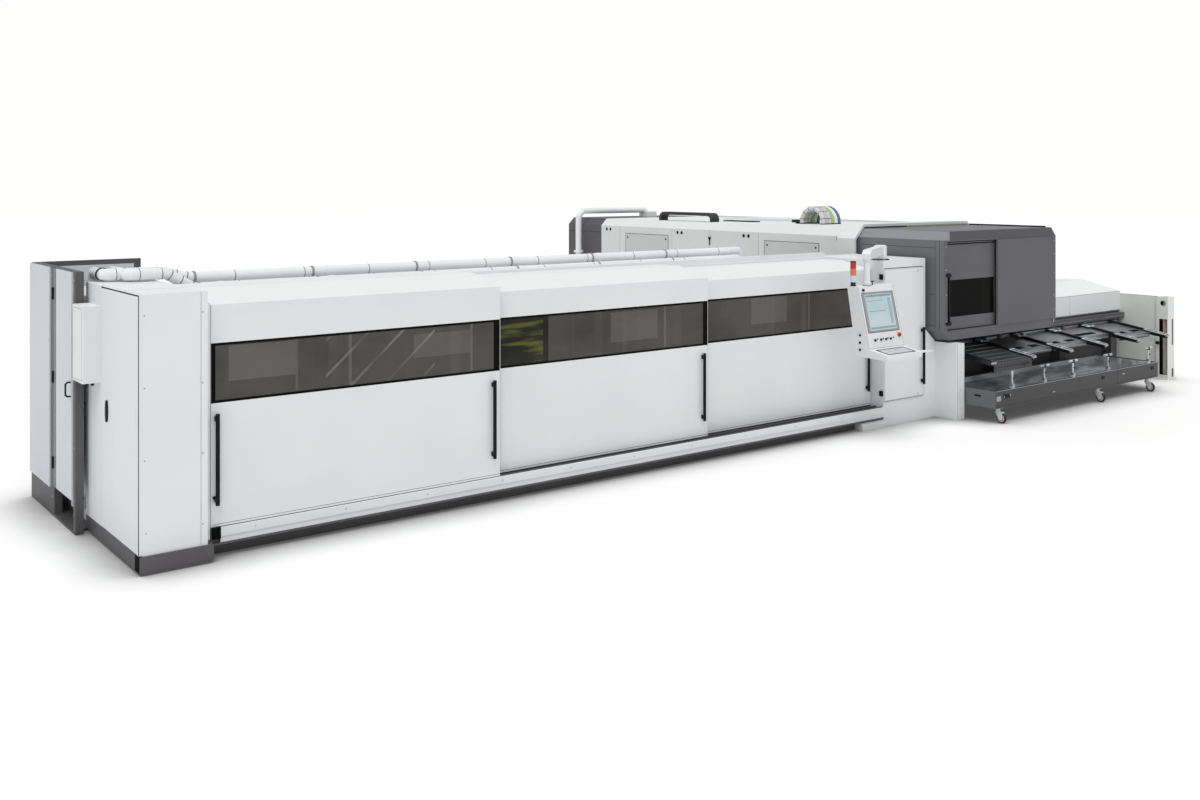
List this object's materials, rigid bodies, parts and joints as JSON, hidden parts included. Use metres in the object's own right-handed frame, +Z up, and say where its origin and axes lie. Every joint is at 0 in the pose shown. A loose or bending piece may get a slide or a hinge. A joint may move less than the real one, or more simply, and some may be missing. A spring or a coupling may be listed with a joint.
{
  "type": "sheet and tube laser cutting machine",
  "caption": "L-shaped laser cutting machine with a long tube feed line behind sliding doors, a cutting cabin, a sheet tunnel, a pendant and an unloading trolley.",
  "frame": {"origin": "bottom centre of the bounding box, on the floor", "axes": "+X along the tube line to the right as seen from the front, +Y back along the sheet tunnel, +Z up"},
  "size_m": [14.763, 8.285, 2.5173],
  "materials": {
    "panel_white": "satin",
    "frame_grey": "satin",
    "cabin_grey": "satin",
    "bay_grey": "satin",
    "machine_steel": "brushed",
    "cast_bed": "matte",
    "smoked_pane": "gloss",
    "dark_glass": "gloss",
    "black_grip": "matte",
    "screen": "gloss",
    "stop_red": "gloss",
    "lamp": "gloss",
    "hose": "matte",
    "wheel_rubber": "matte"
  },
  "bodies": {
    "machine": {"base_plinth": "frame_grey", "door_tracks": "frame_grey", "front_rail": "panel_white", "enclosure_frame": "panel_white", "feed_bed": "cast_bed", "cabinet_body": "panel_white", "junction_box": "panel_white", "bay_frame": "frame_grey", "bay_panels": "bay_grey", "filter_unit": "bay_grey", "fume_ducts": "panel_white", "column_body": "panel_white", "side_guard": "panel_white", "cabin_shell": "cabin_grey", "cabin_front_panel": "cabin_grey", "tunnel_body": "panel_white", "tunnel_end": "frame_grey", "access_covers": "panel_white", "sheet_bed": "cast_bed", "extraction_pipe": "panel_white", "hose_loop": "hose", "unload_frame": "frame_grey", "beam_cover": "panel_white", "end_guard": "bay_grey"},
    "door_1": {"front_door_1": "panel_white", "door_window_1": "smoked_pane", "door_handle_1": "black_grip"},
    "door_2": {"front_door_2": "panel_white", "door_window_2": "smoked_pane", "door_handle_2": "black_grip"},
    "door_3": {"front_door_3": "panel_white", "door_window_3": "smoked_pane", "door_handle_3": "black_grip"},
    "carriage": {"chuck_carriage": "cast_bed"},
    "chuck": {"tube_chuck": "machine_steel"},
    "cabinet_leaf": {"cabinet_door": "panel_white"},
    "cabinet_lever": {"cabinet_handle": "black_grip"},
    "bay_leaf": {"bay_door": "bay_grey", "bay_handle": "black_grip"},
    "column_leaf": {"column_door": "panel_white", "column_handle": "black_grip"},
    "arm": {"swing_arm": "panel_white"},
    "pendant": {"pendant_case": "panel_white", "pendant_screen": "screen", "signal_tower": "lamp"},
    "stop": {"stop_button": "stop_red"},
    "cabin_leaf": {"cabin_door": "cabin_grey", "cabin_window": "dark_glass", "cabin_handle": "black_grip"},
    "gantry": {"gantry_beam": "machine_steel"},
    "head_slide": {"head_carriage": "machine_steel"},
    "head": {"cutting_head": "machine_steel"},
    "tilt": {"tilt_table": "frame_grey"},
    "trolley": {"trolley_tray": "frame_grey"},
    "fork_1": {"caster_fork_1": "machine_steel"},
    "fork_2": {"caster_fork_2": "machine_steel"},
    "fork_3": {"caster_fork_3": "machine_steel"},
    "wheel_1": {"caster_wheel_1": "wheel_rubber"},
    "wheel_2": {"caster_wheel_2": "wheel_rubber"},
    "wheel_3": {"caster_wheel_3": "wheel_rubber"}
  },
  "joints": [
    {"name": "door_1_slide", "type": "slide", "parent": "machine", "child": "door_1", "axis": [1, 0, 0], "range_m": [0, 2.6]},
    {"name": "door_2_slide", "type": "slide", "parent": "machine", "child": "door_2", "axis": [1, 0, 0], "range_m": [-2.55, 2.6]},
    {"name": "door_3_slide", "type": "slide", "parent": "machine", "child": "door_3", "axis": [1, 0, 0], "range_m": [-2.6, 0]},
    {"name": "carriage_feed", "type": "slide", "parent": "machine", "child": "carriage", "axis": [1, 0, 0], "range_m": [0, 6.4]},
    {"name": "chuck_spin", "type": "hinge", "parent": "carriage", "child": "chuck", "pos_m": [-5.9545, -2.8225, 1.15], "axis": [1, 0, 0], "continuous": true},
    {"name": "cabinet_leaf_hinge", "type": "hinge", "parent": "machine", "child": "cabinet_leaf", "pos_m": [-7.2145, -3.4185, 1], "axis": [0, 0, 1], "range_deg": [0, 100]},
    {"name": "cabinet_lever_lift", "type": "hinge", "parent": "cabinet_leaf", "child": "cabinet_lever", "pos_m": [-7.2148, -2.6085, 1.16], "axis": [0, 1, 0], "range_deg": [0, 40]},
    {"name": "bay_leaf_hinge", "type": "hinge", "parent": "machine", "child": "bay_leaf", "pos_m": [-7.3345, -1.3925, 1], "axis": [0, 0, -1], "range_deg": [0, 100]},
    {"name": "column_leaf_hinge", "type": "hinge", "parent": "machine", "child": "column_leaf", "pos_m": [1.2755, -3.3425, 1], "axis": [0, 0, -1], "range_deg": [0, 80]},
    {"name": "arm_swing", "type": "hinge", "parent": "machine", "child": "arm", "pos_m": [1.3855, -3.1925, 2], "axis": [0, 0, 1], "range_deg": [-5, 10]},
    {"name": "pendant_swivel", "type": "hinge", "parent": "arm", "child": "pendant", "pos_m": [0.5355, -3.6925, 1.7], "axis": [0, 0, 1], "range_deg": [-30, 5]},
    {"name": "stop_press", "type": "slide", "parent": "pendant", "child": "stop", "axis": [0, 0.9728, -0.2316], "range_m": [0, 0.006], "stiffness_N_per_m": 1500},
    {"name": "cabin_leaf_slide", "type": "slide", "parent": "machine", "child": "cabin_leaf", "axis": [1, 0, 0], "range_m": [0, 0.93]},
    {"name": "gantry_travel", "type": "slide", "parent": "machine", "child": "gantry", "axis": [0, 1, 0], "range_m": [0, 5.35]},
    {"name": "head_traverse", "type": "slide", "parent": "gantry", "child": "head_slide", "axis": [1, 0, 0], "range_m": [-0.9, 0.6]},
    {"name": "head_height", "type": "slide", "parent": "head_slide", "child": "head", "axis": [0, 0, 1], "range_m": [-0.35, 0]},
    {"name": "table_tilt", "type": "hinge", "parent": "machine", "child": "tilt", "pos_m": [4.7855, -3.0225, 0.8], "axis": [1, 0, 0], "range_deg": [0, 15]},
    {"name": "trolley_roll", "type": "slide", "parent": "machine", "child": "trolley", "axis": [0, -1, 0], "range_m": [0, 1.2]},
    {"name": "caster_swivel_1", "type": "hinge", "parent": "trolley", "child": "fork_1", "pos_m": [2.5301, -4.0175, 0.15], "axis": [0, 0, 1], "continuous": true},
    {"name": "caster_roll_1", "type": "hinge", "parent": "fork_1", "child": "wheel_1", "pos_m": [2.5301, -4.0675, 0.06], "axis": [1, 0, 0], "continuous": true},
    {"name": "caster_swivel_2", "type": "hinge", "parent": "trolley", "child": "fork_2", "pos_m": [4.7457, -4.0175, 0.15], "axis": [0, 0, 1], "continuous": true},
    {"name": "caster_roll_2", "type": "hinge", "parent": "fork_2", "child": "wheel_2", "pos_m": [4.7457, -4.0675, 0.06], "axis": [1, 0, 0], "continuous": true},
    {"name": "caster_swivel_3", "type": "hinge", "parent": "trolley", "child": "fork_3", "pos_m": [6.0254, -4.0175, 0.15], "axis": [0, 0, 1], "continuous": true},
    {"name": "caster_roll_3", "type": "hinge", "parent": "fork_3", "child": "wheel_3", "pos_m": [6.0254, -4.0675, 0.06], "axis": [1, 0, 0], "continuous": true}
  ]
}
